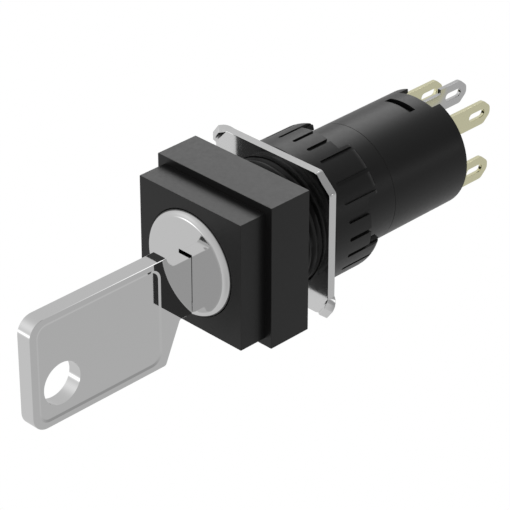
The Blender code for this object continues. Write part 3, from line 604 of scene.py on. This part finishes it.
def rear_body_look(materials):
    """Rear half of the round body with latch windows and rim notches."""
    lo, hi = REAR_BODY
    shell = turned("rear_body", [
        (CARRIER_SEAT_R, lo), (BODY_R - SEAM_EDGE, lo), (BODY_R, lo + SEAM_EDGE),
        (BODY_R, hi - RIM_EDGE), (BODY_R - RIM_EDGE, hi), (RIM_BORE_R, hi), (RIM_BORE_R, BASE_SEAT),
        (NECK_INNER_R, BASE_SEAT), (NECK_INNER_R, CARRIER_SEAT[1]),
        (CARRIER_SEAT_R, CARRIER_SEAT[1]),
    ])
    for side in (-1, 1):
        z_range = sorted((side * (BASE_R - BEYOND), side * (BODY_R + REACH)))
        window = box("window", (-LATCH_WINDOW_HALF, LATCH_WINDOW_HALF), LATCH_WINDOW, z_range)
        notch = box("notch", RIM_NOTCH, (RIM_NOTCH_FLOOR, hi + BEYOND), z_range)
        cut(shell, window, notch)
    return dress(shell, materials["black_plastic"], "black_plastic", "housing", "switch_housing")


def base_look(materials):
    """Moulding that closes the rear, with a slot for every terminal and two latches."""
    base = rod("base", BASE_R, *BASE)
    through = (BASE[0] - BEYOND, BASE[1] + BEYOND)
    thick = TERMINAL_HALF + BASE_SLOT_GAP
    width = (-TONGUE_HALF, TONGUE_HALF)
    for side in (-1, 1):
        hook_z = sorted((side * (TONGUE_Z[0] + HOOK_SINK), side * HOOK_TOP))
        tongue_z = sorted((side * TONGUE_Z[0], side * TONGUE_Z[1]))
        tongue = box("tongue", width, (TONGUE_FRONT, BASE[0] + REACH), tongue_z)
        hook = box("hook", width, (TONGUE_FRONT + HOOK_SET_BACK, HOOK_REAR), hook_z)
        join(tongue, hook)
        join(base, tongue)
        low = CORNER_Z - CORNER_ROOT_HALF - BASE_SLOT_GAP
        high = CORNER_Z + CORNER_ROOT_HALF + BASE_SLOT_GAP
        corner_z = sorted((side * low, side * high))
        for x in (-CORNER_X, CORNER_X):
            cut(base, box("slot", (x - thick, x + thick), through, corner_z))
        low = CENTRE_ROOT_Z[0] - BASE_SLOT_GAP
        high = CENTRE_ROOT_Z[1] + BASE_SLOT_GAP
        cut(base, box("slot", (-thick, thick), through, sorted((side * low, side * high))))
    return dress(base, materials["black_plastic"], "black_plastic", "housing", "terminal_base")


# lock and key
def lock_look(materials):
    """Polished disc and barrel, with keyway and wafer slots."""
    rim = arc_points((DISC_R - DISC_RIM, DISC_FRONT + DISC_RIM), DISC_RIM, -90, 0, DISC_RIM_STEPS)
    plug = turned("lock", [(0, DISC_FRONT)] + rim + [
        (DISC_R, DISC_REAR), (BARREL_R, DISC_REAR),
        (BARREL_R, CLIP_GROOVE[0]), (CLIP_GROOVE_R, CLIP_GROOVE[0]),
        (CLIP_GROOVE_R, CLIP_GROOVE[1]), (BARREL_R, CLIP_GROOVE[1]),
        (BARREL_R, BARREL_END), (0, BARREL_END),
    ])
    side = (-TANG_HALF, TANG_HALF)
    join(plug, box("tang", side, (BARREL_END - REACH, TANG_END), side))
    keyway = (-KEYWAY_HALF, KEYWAY_HALF)
    cut(plug, box("keyway", keyway, (DISC_FRONT - BEYOND, KEYWAY_END), KEYWAY_Z))
    width = (-WAFER_SLOT_HALF_WIDTH, WAFER_SLOT_HALF_WIDTH)
    height = (-BARREL_R - WAFER_SLOT_BEYOND, BARREL_R + WAFER_SLOT_BEYOND)
    for y in WAFER_STATIONS:
        span = (y - WAFER_SLOT_HALF, y + WAFER_SLOT_HALF)
        cut(plug, box("slot", width, span, height))
    return dress(plug, materials["lock_chrome"], "lock_chrome", "plug", "lock_plug")


def key_outline():
    """Side view of the key as (y, z) points, from the blade's tip back round the bow."""
    outline = [(KEY_TIP, BLADE_TOP - KEY_TIP_BEVEL), (KEY_TIP - KEY_TIP_BEVEL, BLADE_TOP)]
    for y, depth in zip(reversed(WAFER_STATIONS), reversed(BITTING_DEPTHS)):
        outline.append((y + BITTING_FLOOR_HALF + BITTING_SLOPE, BLADE_TOP))
        outline.append((y + BITTING_FLOOR_HALF, BLADE_TOP - depth))
        outline.append((y - BITTING_FLOOR_HALF, BLADE_TOP - depth))
        outline.append((y - BITTING_FLOOR_HALF - BITTING_SLOPE, BLADE_TOP))
    corners = [(y, z, 0) for y, z in outline + list(BOW_RAMP)]
    corners += [
        (BOW_END, BOW_TOP, BOW_CORNER_R),
        (BOW_END, BOW_BOTTOM, BOW_CORNER_R),
        (*BOW_FRONT_CORNER, BOW_FRONT_CORNER_R),
        (*BOW_SHOULDER, BOW_SHOULDER_R),
        (BOW_STOP, BOW_SHOULDER[1], 0),
        (BOW_STOP, BLADE_BOTTOM, 0),
        (KEY_TIP - KEY_TIP_BEVEL, BLADE_BOTTOM, 0),
        (KEY_TIP, BLADE_BOTTOM + KEY_TIP_BEVEL, 0),
    ]
    return rounded(corners, KEY_CORNER_STEPS)


def panel_tool(side):
    """A tray-shaped cutter for the sunk panel on one face, with sloped sides."""
    outlines = []
    for grow in (0.0, PANEL_SLOPE, PANEL_SLOPE):
        outlines.append(rounded([
            (PANEL_Y[0] - grow, PANEL_Z[0] - grow, PANEL_CORNER_R + grow),
            (PANEL_Y[1] + grow, PANEL_Z[0] - grow, PANEL_CORNER_R + grow),
            (PANEL_Y[1] + grow, PANEL_Z[1] + grow, PANEL_CORNER_R + grow),
            (PANEL_Y[0] - grow, PANEL_Z[1] + grow, PANEL_CORNER_R + grow),
        ]))
    levels = (KEY_HALF - PANEL_DEPTH, KEY_HALF, KEY_HALF + REACH)
    vertices = [(side * x, y, z) for x, outline in zip(levels, outlines) for y, z in outline]
    return make_object("panel", vertices, layered_faces(len(outlines[0]), len(levels)))


def key_look(materials):
    """Flat key with a ring hole and a shallow sunk panel on both faces."""
    key = prism("flat_key", key_outline(), "X", -KEY_HALF, KEY_HALF)
    hole = arc_points(KEY_HOLE, KEY_HOLE_R, 0, 360 - 360 / KEY_HOLE_STEPS, KEY_HOLE_STEPS - 1)
    cut(key, prism("hole", hole, "X", -KEY_HALF - BEYOND, KEY_HALF + BEYOND))
    soften(key, KEY_EDGE)
    cut(key, panel_tool(1), panel_tool(-1))
    return dress(key, materials["key_metal"], "key_metal", "key", "key", smooth=KEY_SMOOTH_ANGLE)


# plate and nut
def bent(s, thickness):
    """Outward and Y distance of a point past the claw's fold, at a depth from the front face."""
    middle = CLAW_BEND_R + (PLATE[1] - PLATE[0]) / 2
    arc = middle * CLAW_ANGLE
    angle = min(s / middle, CLAW_ANGLE)
    beyond = max(0.0, s - arc)
    radius = CLAW_BEND_R + thickness
    outward = radius * math.sin(angle) + beyond * math.cos(CLAW_ANGLE)
    y = -CLAW_BEND_R + radius * math.cos(angle) - beyond * math.sin(CLAW_ANGLE)
    return outward, y


def claw_stations():
    """Distances past the fold at which a claw has a cross-section: round the bend, then straight."""
    arc = (CLAW_BEND_R + (PLATE[1] - PLATE[0]) / 2) * CLAW_ANGLE
    stations = [arc * (i + 1) / CLAW_BEND_STEPS for i in range(CLAW_BEND_STEPS)]
    return stations + [arc + (CLAW_LENGTH - arc) * share for share in CLAW_FLAT_SHARES]


def add_claw(vertices, faces, first, second, count):
    """Carries the plate's edge between two outline points on as a bent, tapering claw."""
    thickness = PLATE[1] - PLATE[0]
    start = Vector((vertices[first][0], 0.0, vertices[first][2]))
    end = Vector((vertices[second][0], 0.0, vertices[second][2]))
    along = (end - start).normalized()
    out = Vector((along.z, 0.0, -along.x))
    if out.dot(start) < 0:
        out = -out
    section = ((start, 1, 0.0), (end, -1, 0.0), (end, -1, thickness), (start, 1, thickness))
    previous = [first, second, count + second, count + first]
    for s in claw_stations():
        inset = CLAW_TAPER * s / CLAW_LENGTH
        current = []
        for base, sign, depth in section:
            outward, y = bent(s, depth)
            point = base + along * (sign * inset) + out * outward
            current.append(len(vertices))
            vertices.append((point.x, PLATE[0] + y, point.z))
        for k in range(4):
            j = (k + 1) % 4
            faces.append([previous[k], previous[j], current[j], current[k]])
        previous = current
    faces.append(previous)


def plate_look(materials):
    """Sheet plate with two cut corners and two corners bent forward as claws."""
    chamfer = [(*PLATE_CHAMFER[0], PLATE_CHAMFER_R), (*PLATE_CHAMFER[1], PLATE_CHAMFER_R)]
    half = [(*CLAW_FOLD[1], 0), (*CLAW_FOLD[0], 0)] + chamfer
    outline = rounded(half + [(-x, -z, r) for x, z, r in half])
    count = len(outline)
    vertices = [(x, y, z) for y in PLATE for x, z in outline]
    faces = layered_faces(count)
    folds = ((0, 1), (count // 2, count // 2 + 1))
    for first, second in folds:
        faces.remove([first, second, count + second, count + first])
    for first, second in folds:
        add_claw(vertices, faces, first, second, count)
    plate = make_object("plate", vertices, faces)
    cut(plate, rod("hole", PLATE_HOLE_R, PLATE[0] - BEYOND, PLATE[1] + BEYOND))
    soften(plate, PLATE_EDGE)
    return dress(plate, materials["plate_metal"], "plate_metal", "clamp", "clamp_plate")


def nut_slot_angles():
    """Angles of the slots: evenly spaced between two opposite wide lands."""
    angles = []
    span = 180.0 - 2 * NUT_LAND_HALF
    for centre in NUT_LAND_CENTRES:
        for i in range(NUT_SLOTS_PER_SIDE):
            angles.append(centre + NUT_LAND_HALF + span * i / (NUT_SLOTS_PER_SIDE - 1))
    return angles


def nut_slot(angle):
    """A radial blade that cuts one slot, round at its front end."""
    turn = math.radians(angle)
    out = Vector((math.cos(turn), 0.0, math.sin(turn)))
    across = Vector((-out.z, 0.0, out.x))
    middle = (0.0, NUT_SLOT_START + NUT_SLOT_HALF)
    outline = [(NUT_SLOT_HALF, NUT[1] + BEYOND)]
    outline += arc_points(middle, NUT_SLOT_HALF, 0, -180, NUT_SLOT_END_STEPS)
    outline += [(-NUT_SLOT_HALF, NUT[1] + BEYOND)]
    vertices = []
    for radius in (NUT_SLOT_FLOOR_R, NUT_R + REACH):
        for sideways, y in outline:
            point = out * radius + across * sideways
            vertices.append((point.x, y, point.z))
    return make_object("slot", vertices, layered_faces(len(outline)))


def nut_notch(start, end):
    """A wedge from the axis that cuts one wide notch into the rear end, between two angles."""
    outline = [(0.0, 0.0)] + arc_points((0.0, 0.0), 2 * NUT_R, start, end, NUT_NOTCH_STEPS)
    return prism("notch", outline, "Y", NUT_NOTCH_FLOOR, NUT[1] + BEYOND)


def nut_look(materials):
    """Ring nut with axial slots, a rounded rear end and four wide notches in that end."""
    length = NUT[1] - NUT_ROUND_START
    outer = [(NUT_R - NUT_EDGE, NUT[0]), (NUT_R, NUT[0] + NUT_EDGE)]
    for i in range(NUT_ROUND_STEPS + 1):
        share = i / NUT_ROUND_STEPS
        drop = NUT_ROUND_DROP * (1.0 - math.sqrt(1.0 - share * share))
        outer.append((NUT_R - drop, NUT_ROUND_START + length * share))
    nut = turned("ring_nut", [(NUT_BORE_R, NUT[0])] + outer + [(NUT_BORE_R, NUT[1])])
    cut(nut, *[nut_slot(angle) for angle in nut_slot_angles()])
    for centre in NUT_LAND_CENTRES:
        cut(nut, *[nut_notch(centre + start, centre + end) for start, end in NUT_NOTCHES])
    return dress(nut, materials["black_plastic"], "black_plastic", "nut", "fixing_nut")


# terminals
def blade_tip(centre_z):
    """The four points of a blade's rear end with both corners cut, for a blade above the axis."""
    low, high = centre_z - BLADE_HALF, centre_z + BLADE_HALF
    along, across = TIP_CORNER
    return [(TIP - along, low), (TIP, low + across), (TIP, high - across), (TIP - along, high)]


def open_contact_outline():
    """Corner terminal that ends behind the bridge."""
    low, high = CORNER_Z - CORNER_ROOT_HALF, CORNER_Z + CORNER_ROOT_HALF
    return [
        (OPEN_CONTACT_FRONT, low), (CORNER_SHOULDER, low), (CORNER_SHOULDER, CORNER_Z - BLADE_HALF),
        *blade_tip(CORNER_Z),
        (CORNER_SHOULDER, CORNER_Z + BLADE_HALF), (CORNER_SHOULDER, high), (OPEN_CONTACT_FRONT, high),
    ]


def closed_contact_outline():
    """Corner terminal that hooks round the bridge's end and stands in front of it."""
    low, high = CORNER_Z - CORNER_ROOT_HALF, CORNER_Z + CORNER_ROOT_HALF
    return [
        (HOOK_FRONT, HOOK_INNER_Z), (HOOK_BACK, HOOK_INNER_Z), (HOOK_BACK, ARM_Z[0]),
        (ARM_FRONT, ARM_Z[0]), (ARM_FRONT, low), (CORNER_SHOULDER, low),
        (CORNER_SHOULDER, CORNER_Z - BLADE_HALF),
        *blade_tip(CORNER_Z),
        (CORNER_SHOULDER, CORNER_Z + BLADE_HALF), (CORNER_SHOULDER, high),
        (ARM_REAR, high), (ARM_REAR, ARM_Z[1]), (HOOK_FRONT, ARM_Z[1]),
    ]


def centre_outline():
    """Centre terminal, stepped narrower inside the base."""
    low, high = CENTRE_ROOT_Z
    return [
        (CENTRE_FRONT, low), (CENTRE_SHOULDER, low), (CENTRE_SHOULDER, CENTRE_Z - BLADE_HALF),
        *blade_tip(CENTRE_Z),
        (CENTRE_SHOULDER, CENTRE_Z + BLADE_HALF), (CENTRE_SHOULDER, high),
        (CENTRE_STEP, high), (CENTRE_STEP, CENTRE_INNER_TOP), (CENTRE_FRONT, CENTRE_INNER_TOP),
    ]


def terminal_look(name, node, outline, x, centre_z, side, material, slot_name):
    """A flat stamping with a solder slot; side 1 is above the axis, -1 below."""
    slot = []
    for y, start in ((SOLDER_SLOT[1] - SOLDER_SLOT_HALF, -90), (SOLDER_SLOT[0] + SOLDER_SLOT_HALF, 90)):
        slot += arc_points((y, centre_z), SOLDER_SLOT_HALF, start, start + 180, SOLDER_SLOT_STEPS)
    shape = rounded([(y, z, TIP_ROUND if y > SOLDER_SLOT[0] else 0) for y, z in outline])
    outlines = [[(y, side * z) for y, z in points] for points in (shape, slot)]
    blade = prism(name, outlines[0], "X", x - TERMINAL_HALF, x + TERMINAL_HALF)
    cut(blade, prism("slot", outlines[1], "X", x - BEYOND, x + BEYOND))
    soften(blade, TERMINAL_EDGE)
    return dress(blade, material, slot_name, "housing", node)


def terminals_look(materials):
    """All six terminals."""
    brass, tin = materials["brass"], materials["tinned_metal"]
    for place, side in (("top", 1), ("bottom", -1)):
        for hand, x, outline in (
            ("right", CORNER_X, open_contact_outline()),
            ("left", -CORNER_X, closed_contact_outline()),
        ):
            name, node = f"blade_{hand}_{place}", f"terminal_{hand}_{place}"
            terminal_look(name, node, outline, x, CORNER_Z, side, brass, "brass")
        name, node = f"blade_centre_{place}", f"terminal_centre_{place}"
        terminal_look(name, node, centre_outline(), 0.0, CENTRE_Z, side, tin, "tinned_metal")


def paint_inner_nodes(frame, materials):
    """Materials for the CAD nodes that are shown as they are."""
    slots = {entry["node"]: entry["material_slot"] for entry in frame["record"]["subparts"]}
    for node, obj in frame["nodes"].items():
        if obj.hide_render:
            continue
        material = materials["wafer_brass"] if node.startswith("wafer") else materials[slots[node]]
        obj.data.materials.clear()
        obj.data.materials.append(material)


# camera, light and floor
def make_camera():
    """The camera at the photograph's viewing angle."""
    azimuth, elevation = CAMERA_AZIMUTH, CAMERA_ELEVATION
    back = Vector((
        math.sin(azimuth) * math.cos(elevation),
        -math.cos(azimuth) * math.cos(elevation),
        math.sin(elevation),
    ))
    right = Vector((math.cos(azimuth), math.sin(azimuth), 0.0))
    up = back.cross(right)
    place = back * CAMERA_DISTANCE + right * CAMERA_RIGHT + up * CAMERA_UP
    data = bpy.data.cameras.new("camera")
    data.lens = CAMERA_LENS
    data.sensor_width = SENSOR
    data.clip_start, data.clip_end = CAMERA_CLIP
    camera = bpy.data.objects.new("camera", data)
    turn = Matrix((right, up, back)).transposed().to_4x4()
    camera.matrix_world = Matrix.Translation(place * MM) @ turn
    bpy.context.scene.collection.objects.link(camera)
    bpy.context.scene.camera = camera


def maths(nodes, links, operation, first, second):
    """One step of arithmetic on a socket and a number or another socket."""
    step = nodes.new("ShaderNodeMath")
    step.operation = operation
    links.new(first, step.inputs[0])
    if isinstance(second, float):
        step.inputs[1].default_value = second
    else:
        links.new(second, step.inputs[1])
    return step


def add_glint(nodes, links, place, level, direction, sharpness, strength):
    """Adds a lighter or darker patch in one direction, seen only in reflections."""
    facing = nodes.new("ShaderNodeVectorMath")
    facing.operation = "DOT_PRODUCT"
    facing.inputs[1].default_value = Vector(direction).normalized()
    links.new(place.outputs["Generated"], facing.inputs[0])
    ahead = maths(nodes, links, "MAXIMUM", facing.outputs["Value"], 0.0)
    spot = maths(nodes, links, "POWER", ahead.outputs["Value"], sharpness)
    bright = maths(nodes, links, "MULTIPLY", spot.outputs["Value"], strength)
    return maths(nodes, links, "ADD", bright.outputs["Value"], level.outputs["Value"])


def make_world():
    """White surroundings: even for matt surfaces, a faint slope for polished ones."""
    world = bpy.data.worlds.new("studio")
    bpy.context.scene.world = world
    world.use_nodes = True
    nodes, links = world.node_tree.nodes, world.node_tree.links
    nodes.clear()
    place = nodes.new("ShaderNodeTexCoord")
    slope = nodes.new("ShaderNodeVectorMath")
    slope.operation = "DOT_PRODUCT"
    slope.inputs[1].default_value = WORLD_GLOSSY[1:]
    links.new(place.outputs["Generated"], slope.inputs[0])
    level = maths(nodes, links, "ADD", slope.outputs["Value"], WORLD_GLOSSY[0])
    for direction, sharpness, strength in GLINTS:
        level = add_glint(nodes, links, place, level, direction, sharpness, strength)
    path = nodes.new("ShaderNodeLightPath")
    glossy = nodes.new("ShaderNodeMix")
    glossy.data_type = "FLOAT"
    glossy.inputs["A"].default_value = WORLD_DIFFUSE
    links.new(path.outputs["Is Glossy Ray"], glossy.inputs["Factor"])
    links.new(level.outputs["Value"], glossy.inputs["B"])
    seen = nodes.new("ShaderNodeMix")
    seen.data_type = "FLOAT"
    seen.inputs["B"].default_value = WORLD_WHITE
    links.new(path.outputs["Is Camera Ray"], seen.inputs["Factor"])
    links.new(glossy.outputs["Result"], seen.inputs["A"])
    background = nodes.new("ShaderNodeBackground")
    links.new(seen.outputs["Result"], background.inputs["Strength"])
    output = nodes.new("ShaderNodeOutputWorld")
    links.new(background.outputs["Background"], output.inputs["Surface"])


def make_lights(pieces):
    """One soft lamp high behind on the left that lights the plastic pieces only."""
    data = bpy.data.lights.new("lamp", "SUN")
    data.angle = LAMP_SPREAD
    data.energy = LAMP_STRENGTH
    lamp = bpy.data.objects.new("lamp", data)
    lamp.rotation_euler = Vector(LAMP_DIRECTION).to_track_quat("Z", "Y").to_euler()
    bpy.context.scene.collection.objects.link(lamp)
    lit = bpy.data.collections.new("plastic_pieces")
    for piece in pieces:
        lit.objects.link(piece)
    lamp.light_linking.receiver_collection = lit


def make_floor():
    """A plain white floor far below the switch."""
    signs = ((-1, -1), (1, -1), (1, 1), (-1, 1))
    square = [(x * FLOOR_HALF, y * FLOOR_HALF, FLOOR_Z) for x, y in signs]
    floor = make_object("floor", square, [[0, 1, 2, 3]])
    material, nodes, links, shader = new_material("floor_white")
    glow = nodes.new("ShaderNodeEmission")
    glow.inputs["Strength"].default_value = WORLD_WHITE
    links.new(glow.outputs["Emission"], nodes["Material Output"].inputs["Surface"])
    nodes.remove(shader)
    floor.data.materials.append(material)
    floor.visible_glossy = False
    floor.visible_diffuse = False


def corners(bounds):
    """Bounds as plain lists."""
    return [[round(value, 6) for value in corner] for corner in bounds]


def build():
    """Builds the whole scene."""
    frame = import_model()
    bpy.context.scene.view_settings.view_transform = "Standard"
    materials = make_materials()
    makers = (bezel_look, thread_look, head_look, rear_body_look, base_look, nut_look)
    plastic_pieces = [make(materials) for make in makers]
    lock_look(materials)
    key_look(materials)
    plate_look(materials)
    terminals_look(materials)
    paint_inner_nodes(frame, materials)
    make_camera()
    make_world()
    make_lights(plastic_pieces)
    make_floor()


build()
